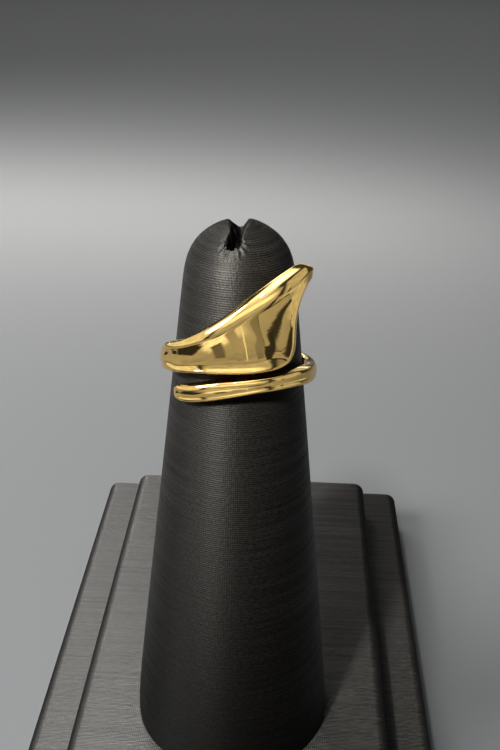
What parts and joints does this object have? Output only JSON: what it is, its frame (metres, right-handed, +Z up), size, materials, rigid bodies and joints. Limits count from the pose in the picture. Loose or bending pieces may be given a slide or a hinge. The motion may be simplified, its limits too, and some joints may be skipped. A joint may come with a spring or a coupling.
{
  "type": "wave ring on a cone stand",
  "caption": "Gold wave ring whose band wraps past itself, a slim bar below and a tall dished fin above, worn on a fabric-covered cone with a stepped base.",
  "frame": {"origin": "centre of the stand's underside", "axes": "+Z up, -Y to the front where the fin and the bar face, +X to the right as seen from the front"},
  "size_m": [0.064, 0.106, 0.0937],
  "materials": {
    "ring_gold": "mirror polish",
    "cone_cloth": "fine ribbed satin weave",
    "step_cloth": "fine ribbed satin weave"
  },
  "bodies": {
    "root": {"ring": "ring_gold", "cone": "cone_cloth", "upper_step": "step_cloth", "lower_step": "step_cloth"}
  },
  "joints": []
}
